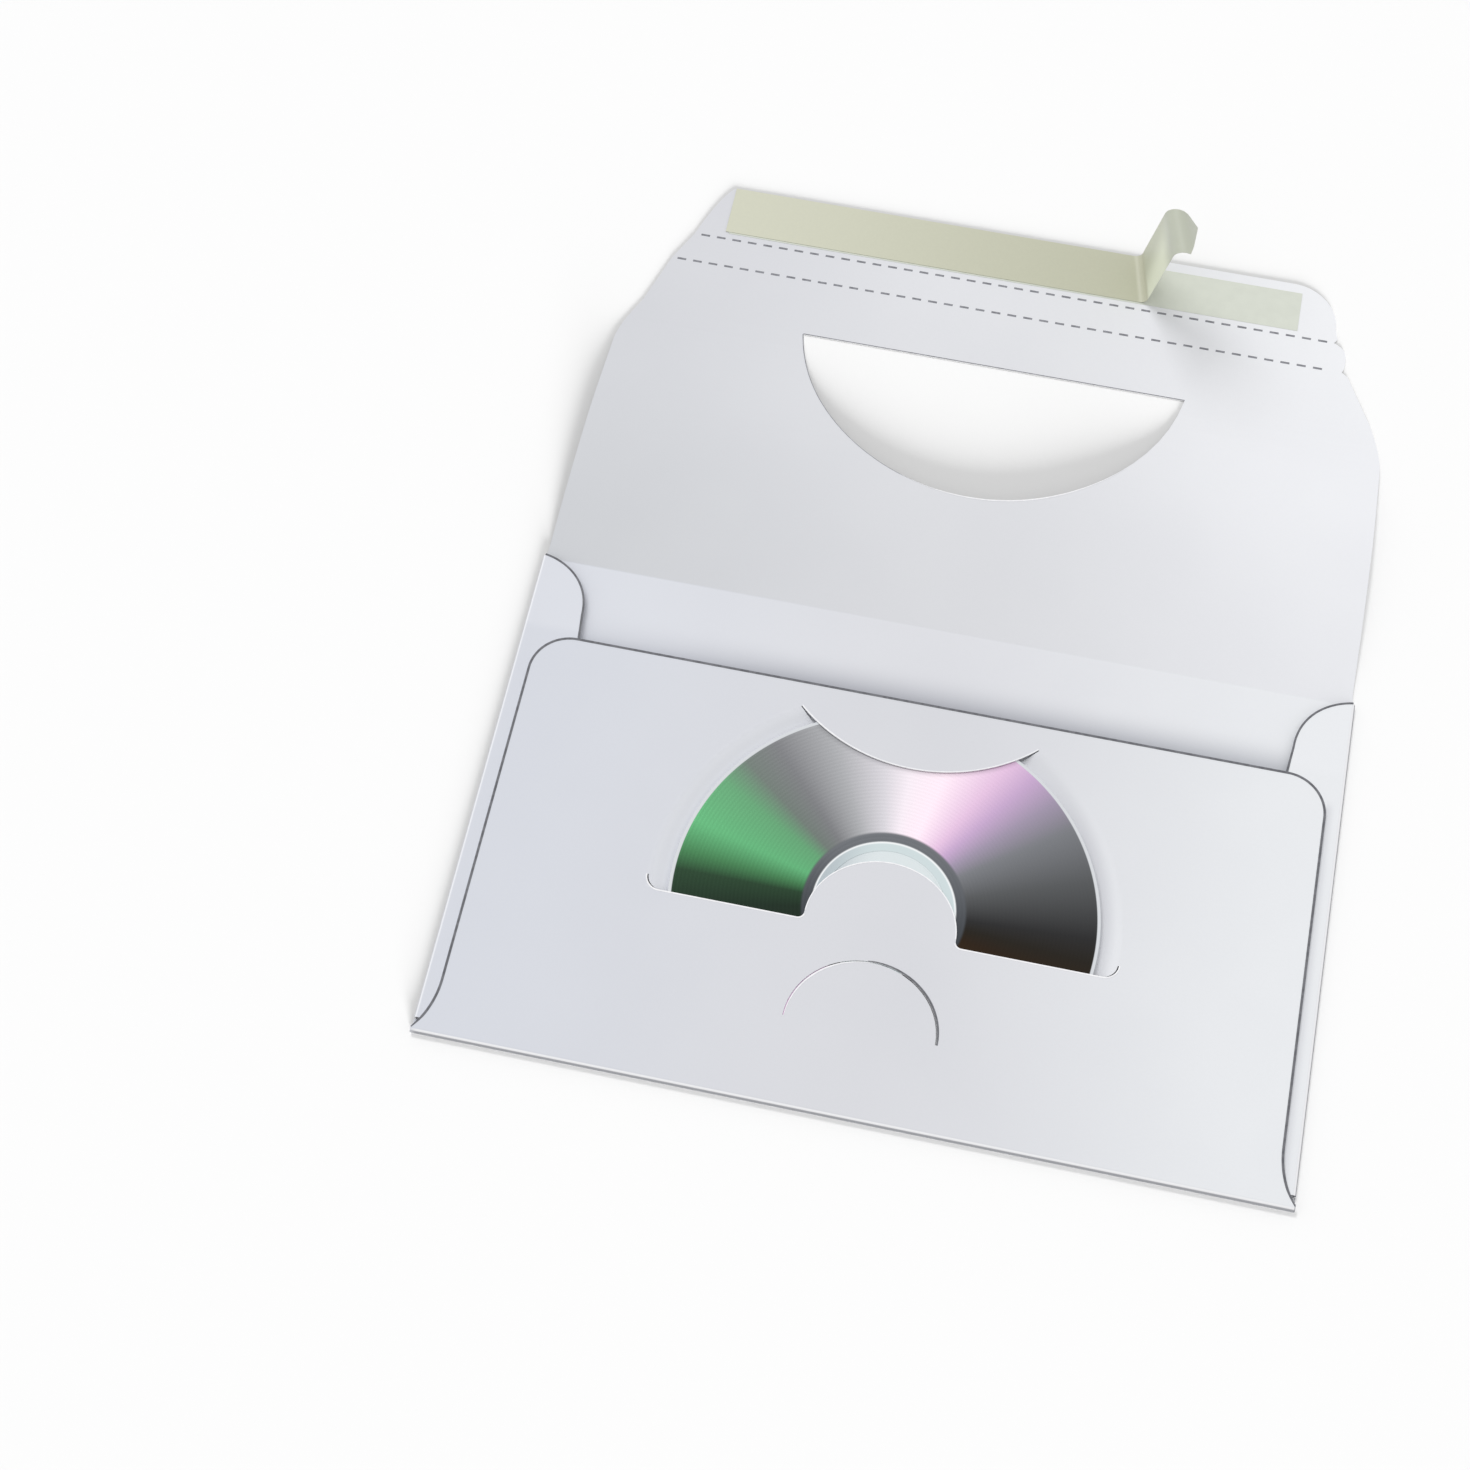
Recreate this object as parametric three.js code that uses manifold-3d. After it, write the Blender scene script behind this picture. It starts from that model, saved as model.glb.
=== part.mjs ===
// A folded card mailing sleeve for one disc, lying open: pocket in front, closure flap swung back.
// Millimetres, +Z up. The sleeve's underside is at z = 0, and +Y runs up to the flap's free edge.
import * as THREE from 'three';
import { mergeGeometries, mergeVertices } from 'three/addons/utils/BufferGeometryUtils.js';
import Module from 'manifold-3d';

const wasm = await Module();
wasm.setup();

// The disc and the layers that stack over and under it
const discRadius = 60;
const discHoleRadius = 7.5;
const discThickness = 1.2;
const discChamfer = 0.12;
const stackingGrooveRadius = 17;
const stackingGrooveWidth = 0.7;
const stackingGrooveDepth = 0.15;
const cardThickness = 0.4;
const layerGap = 0.1;
const glueThickness = 0.1;
const adhesiveThickness = 0.12;
const linerThickness = 0.15;
const linerGap = 0.03;

// The sleeve's body
const sleeveWidth = 240;
const discSideShift = -1;
const discFoldGap = 0.15;
const pocketTopMargin = 4.3;
const openStrip = 25.5;
const pocketSideInset = 4.6;
const pocketCornerRadius = 12;
const pocketFlareHeight = 15;
const cornerMitre = 3;

// The side flaps, folded in under the pocket panel
const sideFlapWidth = 15.6;
const sideFlapCurveHeight = 17.5;
const sideFlapTaper = 0.12;
const sideFlapFootGap = 3;
const glueWidth = 6;
const glueInset = 2;
const glueEndGap = 12;

// The die cuts that hold the disc
const slitWidth = 0.35;
const slitBelowCentre = 7.3;
const slitCurlRadius = 3.8;
const dishClearance = 0.3;
const dishSlopeWidth = 5.7;
const dishRimOverlap = 2;
const tabRadius = 21.4;
const tabRise = 19.6;
const tabFootRadius = 1.6;
const tongueRadius = 51.2;
const tongueDip = 17;
const halfMoonRadius = 21;
const halfMoonRise = 19.8;
const halfMoonBelowSlit = 28.9;

// The closure flap
const closedMargin = 8;
const flapInset = 1;
const flapRootHeight = 6;
const flapRise = 4;
const shoulderHeight = 78;
const shoulderLength = 18;
const rightShoulderInset = 5.6;
const leftShoulderInset = 8.2;
const leftFlapInset = 2.6;
const shoulderSwell = 2;
const rightSlantInset = 14;
const leftSlantInset = 13.6;
const rightTipInset = 19.4;
const rightTipFlare = 0.9;
const rightCornerRadius = 14.5;
const leftTipInset = 18.6;
const leftCornerInset = 27.5;
const leftCornerRise = 4;
const windowSill = 3.8;
const windowClearance = 0.3;
const windowTongueOverlap = 3;

// The tear strip between two lines of perforation
const tearStripWidth = 10.3;
const tearStripFromTip = 19.6;
const perforationLength = 2.8;
const perforationPitch = 5;
const perforationWidth = 0.75;
const perforationEdgeMargin = 0.7;
const perforationTabInset = 4.4;
const notchDepth = 1.9;
const notchHalfWidth = 1.4;
const fingerTabInset = 15.2;
const fingerTabRounding = 2.2;

// The seal strip and its peeled liner
const adhesiveFromTip = 3.3;
const adhesiveWidth = 14.2;
const adhesiveLeftInset = 29;
const adhesiveRightInset = 31;
const linerWidth = 17;
const linerLeftInset = 28;
const creaseLeftInset = 157.4;
const creaseSlant = 13;
const peelLength = 46.5;
const peelAngle = 86;
const peelBendRadius = 2.5;
const curlStart = 33.2;
const curlSlant = 23;
const curlTurn = 135;
const curlRadius = 3.6;

// Levels of the layers, from the underside up
const backTop = cardThickness;
const bridgeLow = backTop + layerGap;
const discLow = bridgeLow + cardThickness + layerGap;
const discTop = discLow + discThickness;
const panelLow = discTop + layerGap;
const panelTop = panelLow + cardThickness;
const sideFlapTop = panelLow - glueThickness;
const sideFlapLow = sideFlapTop - cardThickness;
const bottomBendRadius = panelTop / 2;
const sideBendRadius = sideFlapTop / 2;

// Places across and along the sleeve
const halfWidth = sleeveWidth / 2;
const discX = discSideShift;
const discY = bottomBendRadius + discFoldGap + discRadius;
const pocketHeight = discY + discRadius + pocketTopMargin;
const bodyHeight = pocketHeight + openStrip;
const flapHeight = bodyHeight - closedMargin;
const totalLength = bodyHeight + flapHeight;
const dishLowRadius = discRadius + dishClearance;
const dishRimRadius = dishLowRadius + dishSlopeWidth;
const slitY = discY - slitBelowCentre;
const tongueLowY = discY + discRadius - tongueDip;
const tongueCentreY = tongueLowY + tongueRadius;
const halfMoonY = slitY - halfMoonBelowSlit;
const tearTop = bodyHeight + flapHeight - tearStripFromTip;
const tearBottom = tearTop - tearStripWidth;
const windowChordY = 2 * bodyHeight - slitY - windowSill;
const archLength = windowChordY - bodyHeight;
const flapTip = bodyHeight + flapHeight;

const foldLeg = 0.6;
const cutReach = 1;
const flareEase = 0.45;
const curveStartEase = 0.08;
const curveEndEase = 0.4;
const shoulderEase = 0.4;
const slantEase = 0.25;
const arcSteps = 14;
const discSteps = 128;
const dishSteps = 96;
const toRadians = THREE.MathUtils.degToRad;

// Closed mesh to solid and back
function solidOf(geometry) {
  const bare = geometry.index ? geometry.toNonIndexed() : geometry.clone();
  bare.deleteAttribute('normal');
  bare.deleteAttribute('uv');
  const merged = mergeVertices(bare, 1e-5);
  const mesh = new wasm.Mesh({
    numProp: 3,
    vertProperties: new Float32Array(merged.attributes.position.array),
    triVerts: new Uint32Array(merged.index.array),
  });
  return new wasm.Manifold(mesh);
}

function geometryOf(solid) {
  const mesh = solid.getMesh();
  const geometry = new THREE.BufferGeometry();
  geometry.setAttribute('position', new THREE.BufferAttribute(new Float32Array(mesh.vertProperties), 3));
  geometry.setIndex(new THREE.BufferAttribute(new Uint32Array(mesh.triVerts), 1));
  geometry.computeVertexNormals();
  return geometry;
}

// A flat outline in X and Y, raised from one level to another
function slab(shape, low, high) {
  const geometry = new THREE.ExtrudeGeometry(shape, {
    depth: high - low, bevelEnabled: false, curveSegments: arcSteps,
  });
  geometry.translate(0, 0, low);
  return geometry;
}

// A profile drawn in Y and Z, run along X between two places
function runAlongX(profile, from, to) {
  const geometry = new THREE.ExtrudeGeometry(profile, {
    depth: to - from, bevelEnabled: false, curveSegments: arcSteps,
  });
  const turn = new THREE.Matrix4().makeBasis(
    new THREE.Vector3(0, 1, 0), new THREE.Vector3(0, 0, 1), new THREE.Vector3(1, 0, 0));
  geometry.applyMatrix4(turn);
  geometry.translate(from, 0, 0);
  return geometry;
}

// A profile drawn in X and Z, run along Y between two places
function runAlongY(profile, from, to) {
  const geometry = new THREE.ExtrudeGeometry(profile, {
    depth: to - from, bevelEnabled: false, curveSegments: arcSteps,
  });
  geometry.rotateX(Math.PI / 2);
  geometry.translate(0, to, 0);
  return geometry;
}

// The section of a round fold: half a ring with two short legs that run into the flat card.
// The fold is at its outermost where the first coordinate equals edge, and it opens towards inwards.
function foldProfile(edge, inwards, outerRadius) {
  const innerRadius = outerRadius - cardThickness;
  const centre = edge + inwards * outerRadius;
  const start = Math.PI / 2;
  const end = -Math.PI / 2;
  const clockwise = inwards < 0;
  const shape = new THREE.Shape();
  shape.moveTo(centre + inwards * foldLeg, 2 * outerRadius);
  shape.lineTo(centre, 2 * outerRadius);
  shape.absarc(centre, outerRadius, outerRadius, start, end, clockwise);
  shape.lineTo(centre + inwards * foldLeg, 0);
  shape.lineTo(centre + inwards * foldLeg, cardThickness);
  shape.lineTo(centre, cardThickness);
  shape.absarc(centre, outerRadius, innerRadius, end, start, !clockwise);
  shape.lineTo(centre + inwards * foldLeg, 2 * outerRadius - cardThickness);
  shape.closePath();
  return shape;
}

// A narrow outline that follows a path at an even width
function ribbon(points, width) {
  const left = [];
  const right = [];
  points.forEach((point, index) => {
    const before = points[Math.max(index - 1, 0)];
    const after = points[Math.min(index + 1, points.length - 1)];
    const along = after.clone().sub(before).normalize();
    const side = new THREE.Vector2(-along.y, along.x).multiplyScalar(width / 2);
    left.push(point.clone().add(side));
    right.unshift(point.clone().sub(side));
  });
  return new THREE.Shape([...left, ...right]);
}

// The cut under the disc's centre: a straight slit whose ends curl up, with a round tab in its middle
function lowerSlit() {
  const tabY = slitY + tabFootRadius;
  const curl = slitCurlRadius;
  const curlY = slitY + curl;
  const curlX = Math.sqrt(dishRimRadius ** 2 - (discY - curlY) ** 2) - curl;
  const path = new THREE.Path();
  path.absarc(discX - curlX, curlY, curl, Math.PI, 1.5 * Math.PI, false);
  path.absarc(discX - tabRadius - tabFootRadius, tabY, tabFootRadius, 1.5 * Math.PI, 2 * Math.PI, false);
  path.absellipse(discX, tabY, tabRadius, tabRise, Math.PI, 0, true, 0);
  path.absarc(discX + tabRadius + tabFootRadius, tabY, tabFootRadius, Math.PI, 1.5 * Math.PI, false);
  path.absarc(discX + curlX, curlY, curl, 1.5 * Math.PI, 2 * Math.PI, false);
  return tidyPoints(path.getPoints(arcSteps));
}

// The hollow cut over the disc, whose upper side is the tongue that holds the disc's top
function tongueSlit() {
  const rise = tongueCentreY - discY;
  const above = (rise ** 2 + dishRimRadius ** 2 - tongueRadius ** 2) / (2 * rise);
  const reach = Math.sqrt(dishRimRadius ** 2 - above ** 2);
  const end = Math.atan2(discY + above - tongueCentreY, reach);
  const path = new THREE.Path();
  path.absarc(discX, tongueCentreY, tongueRadius, end, -Math.PI - end, true);
  return tidyPoints(path.getPoints(arcSteps));
}

// The half-moon cut near the bottom fold
function halfMoonSlit() {
  const path = new THREE.Path();
  path.absellipse(discX, halfMoonY, halfMoonRadius, halfMoonRise, 0, Math.PI, false, 0);
  return tidyPoints(path.getPoints(arcSteps));
}

function tidyPoints(points) {
  return points.filter((point, index) => index === 0 || point.distanceTo(points[index - 1]) > 1e-4);
}

// The strip of the pocket panel between the two cuts, which passes behind the disc.
// Its sides run past the dish's rim, where the strip is already level with the panel.
function bridgeZone(rimRadius) {
  const low = lowerSlit();
  const high = tongueSlit();
  const angleOf = (point) => Math.atan2(point.y - discY, point.x - discX);
  const points = [...low];
  const rim = new THREE.Path();
  rim.absarc(discX, discY, rimRadius, angleOf(low[low.length - 1]), angleOf(high[0]), false);
  points.push(...rim.getPoints(arcSteps));
  points.push(...high);
  const farRim = new THREE.Path();
  farRim.absarc(discX, discY, rimRadius, angleOf(high[high.length - 1]), angleOf(low[0]), false);
  points.push(...farRim.getPoints(arcSteps));
  return new THREE.Shape(tidyPoints(points));
}

// A shallow dish about the disc's axis, from the low level behind the disc up to the panel's own level
function dish() {
  const slope = 6;
  const drop = panelLow - bridgeLow;
  const lower = [];
  for (let step = 0; step <= slope; step += 1) {
    const share = step / slope;
    const radius = dishLowRadius + dishSlopeWidth * share;
    lower.push(new THREE.Vector2(radius, bridgeLow + drop * THREE.MathUtils.smoothstep(share, 0, 1)));
  }
  lower.push(new THREE.Vector2(dishRimRadius + dishRimOverlap, panelLow));
  const upper = lower.map((point) => new THREE.Vector2(point.x, point.y + cardThickness)).reverse();
  const profile = [
    new THREE.Vector2(0, bridgeLow), ...lower, ...upper, new THREE.Vector2(0, bridgeLow + cardThickness),
  ];
  const geometry = new THREE.LatheGeometry(profile, dishSteps);
  geometry.rotateX(Math.PI / 2);
  geometry.translate(discX, discY, 0);
  return geometry;
}

// Front panel: rounded top corners, sides set in from the folds and flared out to the bottom corners
function pocketOutline() {
  const side = halfWidth - pocketSideInset;
  const foot = bottomBendRadius;
  const flareTop = foot + pocketFlareHeight;
  const corner = pocketCornerRadius;
  const shape = new THREE.Shape();
  shape.moveTo(-halfWidth, foot);
  shape.lineTo(halfWidth, foot);
  shape.quadraticCurveTo(side, foot + pocketFlareHeight * flareEase, side, flareTop);
  shape.lineTo(side, pocketHeight - corner);
  shape.absarc(side - corner, pocketHeight - corner, corner, 0, Math.PI / 2, false);
  shape.lineTo(-side + corner, pocketHeight);
  shape.absarc(-side + corner, pocketHeight - corner, corner, Math.PI / 2, Math.PI, false);
  shape.lineTo(-side, flareTop);
  shape.quadraticCurveTo(-side, foot + pocketFlareHeight * flareEase, -halfWidth, foot);
  return shape;
}

function pocketPanel() {
  const zone = bridgeZone(dishRimRadius);
  const widerZone = bridgeZone(dishRimRadius + dishRimOverlap / 2);
  const below = bridgeLow - cutReach;
  const above = panelTop + cutReach;
  const flat = solidOf(slab(pocketOutline(), panelLow, panelTop));
  const bridge = solidOf(dish()).intersect(solidOf(slab(widerZone, below, above)));
  let panel = flat.subtract(solidOf(slab(zone, below, above))).add(bridge);
  for (const cut of [lowerSlit(), tongueSlit(), halfMoonSlit()]) {
    panel = panel.subtract(solidOf(slab(ribbon(cut, slitWidth), below, above)));
  }
  return panel;
}

// Side flap, folded in from the body's side and cut to a curve at its top; side is 1 right, -1 left
function sideFlap(side) {
  const fold = halfWidth - sideBendRadius;
  const top = bodyHeight - layerGap;
  const inner = halfWidth - sideFlapWidth;
  const foot = bottomBendRadius + sideFlapFootGap;
  const straightTop = bodyHeight - sideFlapCurveHeight;
  const footInner = inner - sideFlapTaper * (straightTop - foot);
  const shape = new THREE.Shape();
  shape.moveTo(side * fold, foot);
  shape.lineTo(side * fold, top);
  shape.bezierCurveTo(
    side * (halfWidth - sideFlapWidth / 2), bodyHeight - sideFlapCurveHeight * curveStartEase,
    side * inner, bodyHeight - sideFlapCurveHeight * curveEndEase,
    side * inner, straightTop);
  shape.lineTo(side * (footInner + cornerMitre), foot + cornerMitre);
  shape.lineTo(side * (footInner + 2 * cornerMitre), foot);
  shape.closePath();
  const flat = solidOf(slab(shape, sideFlapLow, sideFlapTop));
  const fromEdge = foldProfile(side * halfWidth, -side, sideBendRadius);
  return flat.add(solidOf(runAlongY(fromEdge, foot, top)));
}

// Closure flap's outline with the back panel's, in one piece as the sheet is cut
function backOutline() {
  const fold = halfWidth - sideBendRadius;
  const root = bodyHeight;
  const shoulder = root + shoulderHeight;
  const slantStart = shoulder + shoulderLength;
  const foot = bottomBendRadius;
  const earTop = foot + sideFlapFootGap - layerGap;
  const flapSide = halfWidth - flapInset;
  const tipSide = halfWidth - rightTipInset;
  const shape = new THREE.Shape();
  shape.moveTo(-halfWidth, foot);
  shape.lineTo(halfWidth, foot);
  shape.lineTo(halfWidth, earTop);
  shape.lineTo(fold, earTop);
  shape.lineTo(fold, root);
  shape.lineTo(halfWidth - flapInset / 3, root);
  shape.quadraticCurveTo(flapSide, root + flapRootHeight / 3, flapSide, root + flapRootHeight);
  shape.lineTo(flapSide, shoulder);
  shape.bezierCurveTo(
    flapSide, shoulder + shoulderLength * shoulderEase,
    halfWidth - rightShoulderInset + shoulderSwell, slantStart - shoulderLength * slantEase,
    halfWidth - rightShoulderInset, slantStart);
  shape.lineTo(halfWidth - rightSlantInset, tearBottom - notchHalfWidth);
  shape.lineTo(halfWidth - rightSlantInset - notchDepth, tearBottom);
  fingerTab(shape);
  shape.lineTo(tipSide + rightTipFlare, tearTop + notchHalfWidth);
  shape.lineTo(tipSide, flapTip - rightCornerRadius);
  shape.absarc(tipSide - rightCornerRadius, flapTip - rightCornerRadius, rightCornerRadius,
    0, Math.PI / 2, false);
  shape.lineTo(-halfWidth + leftCornerInset, flapTip);
  shape.quadraticCurveTo(
    -halfWidth + leftCornerInset - leftCornerRise, flapTip - leftCornerRise,
    -halfWidth + leftTipInset, tearTop);
  shape.lineTo(-halfWidth + leftSlantInset, tearBottom);
  shape.lineTo(-halfWidth + leftShoulderInset, slantStart);
  shape.bezierCurveTo(
    -halfWidth + leftShoulderInset - shoulderSwell, slantStart - shoulderLength * slantEase,
    -halfWidth + leftFlapInset, shoulder + shoulderLength * shoulderEase,
    -halfWidth + leftFlapInset, shoulder);
  shape.lineTo(-flapSide, root + flapRootHeight);
  shape.quadraticCurveTo(-flapSide, root + flapRootHeight / 3, -halfWidth + flapInset / 3, root);
  shape.lineTo(-fold, root);
  shape.lineTo(-fold, earTop);
  shape.lineTo(-halfWidth, earTop);
  shape.closePath();
  return shape;
}

// The tear strip's rounded end, which stands out between its two notches
function fingerTab(shape) {
  const highX = halfWidth - rightTipInset;
  const outX = halfWidth - fingerTabInset;
  const lowY = tearBottom + notchHalfWidth;
  const highY = tearTop - notchHalfWidth;
  shape.quadraticCurveTo(outX, lowY, outX, lowY + fingerTabRounding);
  const ease = fingerTabRounding / 2;
  shape.bezierCurveTo(outX, highY - ease, outX - ease, highY, highX, tearTop);
}

// The half-moon window: a straight edge towards the tip and an arc as wide as the disc
function windowOutline() {
  const radius = discRadius + windowClearance;
  const lowest = 2 * bodyHeight - tongueLowY - windowTongueOverlap;
  const centreY = lowest + radius;
  const end = Math.asin((windowChordY - centreY) / radius);
  const shape = new THREE.Shape();
  shape.absarc(discX, centreY, radius, Math.PI - end, 2 * Math.PI + end, false);
  shape.closePath();
  return shape;
}

// A line of short slots across the flap
function perforation(level, leftInset, rightInset) {
  const from = -halfWidth + leftInset + perforationEdgeMargin;
  const to = halfWidth - rightInset - perforationEdgeMargin;
  const count = Math.floor((to - from - perforationLength) / perforationPitch) + 1;
  const slack = to - from - perforationLength - (count - 1) * perforationPitch;
  const slots = [];
  for (let index = 0; index < count; index += 1) {
    const slot = new THREE.BoxGeometry(perforationLength, perforationWidth, 2 * (flapRise + cutReach));
    slot.translate(from + (slack + perforationLength) / 2 + index * perforationPitch, level, 0);
    slots.push(slot);
  }
  return slots;
}

function perforations() {
  return mergeGeometries([
    ...perforation(tearBottom, leftSlantInset, rightSlantInset + notchDepth + perforationTabInset),
    ...perforation(tearTop, leftTipInset, rightTipInset),
  ]);
}

// Height of the flap's underside: it springs up at its crease and comes down at the window's far edge
function flapLift(y) {
  const share = (y - bodyHeight) / archLength;
  return share > 0 && share < 1 ? flapRise * Math.sin(Math.PI * share) : 0;
}

// The back panel and closure flap as one sheet seen from its side, then cut to its outline
function backSheet() {
  const steps = 18;
  const above = flapRise + cardThickness + cutReach;
  const lower = [new THREE.Vector2(bottomBendRadius - cutReach, 0)];
  for (let step = 0; step <= steps; step += 1) {
    const y = bodyHeight + archLength * (step / steps);
    lower.push(new THREE.Vector2(y, flapLift(y)));
  }
  lower.push(new THREE.Vector2(flapTip + cutReach, 0));
  const upper = lower.map((point) => new THREE.Vector2(point.x, point.y + cardThickness)).reverse();
  const reach = halfWidth + cutReach;
  const sheet = solidOf(runAlongX(new THREE.Shape([...lower, ...upper]), -reach, reach));
  return sheet
    .intersect(solidOf(slab(backOutline(), -cutReach, above)))
    .subtract(solidOf(slab(windowOutline(), -cutReach, above)))
    .subtract(solidOf(perforations()));
}

function cardSleeve() {
  const bottomFold = solidOf(runAlongX(foldProfile(0, 1, bottomBendRadius), -halfWidth, halfWidth));
  const blank = backSheet().add(sideFlap(-1)).add(sideFlap(1)).add(bottomFold).add(pocketPanel());
  return geometryOf(blank);
}

// A seam of set glue between a side flap and the pocket panel over it
function glueSeam(side) {
  const outer = halfWidth - pocketSideInset - glueInset;
  const shape = new THREE.Shape();
  shape.moveTo(side * outer, bottomBendRadius + pocketFlareHeight);
  shape.lineTo(side * outer, pocketHeight - glueEndGap);
  shape.lineTo(side * (outer - glueWidth), pocketHeight - glueEndGap);
  shape.lineTo(side * (outer - glueWidth), bottomBendRadius + pocketFlareHeight);
  shape.closePath();
  return slab(shape, sideFlapTop, panelLow);
}

// The disc, with its hole, eased rims and a moulded groove round the hub
function disc() {
  const ease = discChamfer;
  const grooveTop = stackingGrooveRadius + stackingGrooveWidth / 2;
  const grooveFloor = discTop - stackingGrooveDepth;
  const profile = [
    [discHoleRadius + ease, discLow],
    [discRadius - ease, discLow],
    [discRadius, discLow + ease],
    [discRadius, discTop - ease],
    [discRadius - ease, discTop],
    [grooveTop, discTop],
    [grooveTop - ease, grooveFloor],
    [stackingGrooveRadius - stackingGrooveWidth / 2 + ease, grooveFloor],
    [stackingGrooveRadius - stackingGrooveWidth / 2, discTop],
    [discHoleRadius + ease, discTop],
    [discHoleRadius, discTop - ease],
    [discHoleRadius, discLow + ease],
    [discHoleRadius + ease, discLow],
  ].map(([radius, level]) => new THREE.Vector2(radius, level));
  const geometry = new THREE.LatheGeometry(profile, discSteps);
  geometry.rotateX(Math.PI / 2);
  geometry.translate(discX, discY, 0);
  return geometryOf(solidOf(geometry));
}

function sealAdhesive() {
  const top = flapTip - adhesiveFromTip;
  const shape = new THREE.Shape();
  shape.moveTo(-halfWidth + adhesiveLeftInset, top - adhesiveWidth);
  shape.lineTo(halfWidth - adhesiveRightInset, top - adhesiveWidth);
  shape.lineTo(halfWidth - adhesiveRightInset, top);
  shape.lineTo(-halfWidth + adhesiveLeftInset, top);
  shape.closePath();
  return slab(shape, backTop, backTop + adhesiveThickness);
}

// Place of a point of the peeled liner. along runs from the crease towards the free end, across from
// the liner's middle towards the flap's tip. The free end first curls over about a slanted line, and then
// the whole end folds up about the slanted crease.
function linerPoint(along, across) {
  const turned = toRadians(curlSlant);
  const pastCurl = along * Math.cos(turned) + across * Math.sin(turned) - curlStart;
  const besideCurl = across * Math.cos(turned) - along * Math.sin(turned);
  const curl = THREE.MathUtils.clamp(pastCurl / curlRadius, 0, toRadians(curlTurn));
  const beyond = pastCurl - curl * curlRadius;
  const ahead = curlStart + curlRadius * Math.sin(curl) + beyond * Math.cos(curl);
  const sunk = curlRadius * (1 - Math.cos(curl)) + beyond * Math.sin(curl);
  const curledAlong = ahead * Math.cos(turned) - besideCurl * Math.sin(turned);
  const curledAcross = ahead * Math.sin(turned) + besideCurl * Math.cos(turned);

  const slant = toRadians(creaseSlant);
  const crease = new THREE.Vector3(-Math.sin(slant), Math.cos(slant), 0);
  const away = new THREE.Vector3(Math.cos(slant), Math.sin(slant), 0);
  const up = new THREE.Vector3(0, 0, 1);
  const beside = curledAcross * Math.cos(slant) - curledAlong * Math.sin(slant);
  const reach = curledAlong * Math.cos(slant) + curledAcross * Math.sin(slant);
  const fold = THREE.MathUtils.clamp(reach / peelBendRadius, 0, toRadians(peelAngle));
  const straight = reach - fold * peelBendRadius;
  const out = peelBendRadius * Math.sin(fold) + straight * Math.cos(fold);
  const high = peelBendRadius * (1 - Math.cos(fold)) + straight * Math.sin(fold);

  const middle = backTop + adhesiveThickness + linerGap + linerThickness / 2;
  return new THREE.Vector3(-halfWidth + creaseLeftInset, flapTip - linerWidth / 2, middle)
    .addScaledVector(crease, beside)
    .addScaledVector(away, out + sunk * Math.sin(fold))
    .addScaledVector(up, high - sunk * Math.cos(fold));
}

// A thin sheet lofted through rows of points, closed round its edges
function releaseLiner() {
  const alongSteps = [linerLeftInset - creaseLeftInset];
  const bendHalf = linerWidth * Math.tan(toRadians(creaseSlant)) / 2 + layerGap;
  const bendEnd = bendHalf + peelBendRadius * toRadians(peelAngle);
  const bendCount = 16;
  for (let step = 0; step <= bendCount; step += 1) {
    alongSteps.push(-bendHalf + (bendEnd + bendHalf) * (step / bendCount));
  }
  const freeCount = 30;
  for (let step = 1; step <= freeCount; step += 1) {
    alongSteps.push(bendEnd + (peelLength - bendEnd) * (step / freeCount));
  }
  const acrossCount = 12;
  const rows = alongSteps.length;
  const columns = acrossCount + 1;
  const positions = [];
  const nudge = 0.01;
  for (const face of [1, -1]) {
    for (const along of alongSteps) {
      for (let column = 0; column < columns; column += 1) {
        const across = linerWidth * (column / acrossCount - 0.5);
        const here = linerPoint(along, across);
        const alongWay = linerPoint(along + nudge, across).sub(linerPoint(along - nudge, across));
        const acrossWay = linerPoint(along, across + nudge).sub(linerPoint(along, across - nudge));
        const normal = alongWay.cross(acrossWay).normalize();
        here.addScaledVector(normal, face * linerThickness / 2);
        positions.push(here.x, here.y, here.z);
      }
    }
  }
  const index = [];
  const at = (face, row, column) => face * rows * columns + row * columns + column;
  const quad = (a, b, c, d) => index.push(a, b, c, a, c, d);
  for (let row = 0; row < rows - 1; row += 1) {
    for (let column = 0; column < columns - 1; column += 1) {
      quad(at(0, row, column), at(0, row + 1, column), at(0, row + 1, column + 1), at(0, row, column + 1));
      quad(at(1, row, column), at(1, row, column + 1), at(1, row + 1, column + 1), at(1, row + 1, column));
    }
    const last = columns - 1;
    quad(at(0, row, 0), at(1, row, 0), at(1, row + 1, 0), at(0, row + 1, 0));
    quad(at(0, row, last), at(0, row + 1, last), at(1, row + 1, last), at(1, row, last));
  }
  for (let column = 0; column < columns - 1; column += 1) {
    const last = rows - 1;
    quad(at(0, 0, column), at(0, 0, column + 1), at(1, 0, column + 1), at(1, 0, column));
    quad(at(0, last, column), at(1, last, column), at(1, last, column + 1), at(0, last, column + 1));
  }
  const geometry = new THREE.BufferGeometry();
  geometry.setAttribute('position', new THREE.Float32BufferAttribute(positions, 3));
  geometry.setIndex(index);
  geometry.computeVertexNormals();
  return geometry;
}

const materials = {
  card: new THREE.MeshStandardMaterial({ color: 0xe1e3e8, roughness: 0.75, metalness: 0 }),
  disc: new THREE.MeshStandardMaterial({ color: 0x8f9396, roughness: 0.18, metalness: 0.9 }),
  adhesive: new THREE.MeshStandardMaterial({ color: 0xd7dbd0, roughness: 0.35, metalness: 0 }),
  liner: new THREE.MeshStandardMaterial({ color: 0xcaccb7, roughness: 0.5, metalness: 0 }),
  glue: new THREE.MeshStandardMaterial({ color: 0xe9e6d8, roughness: 0.5, metalness: 0 }),
};

const sleeve = new THREE.Group();

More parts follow.
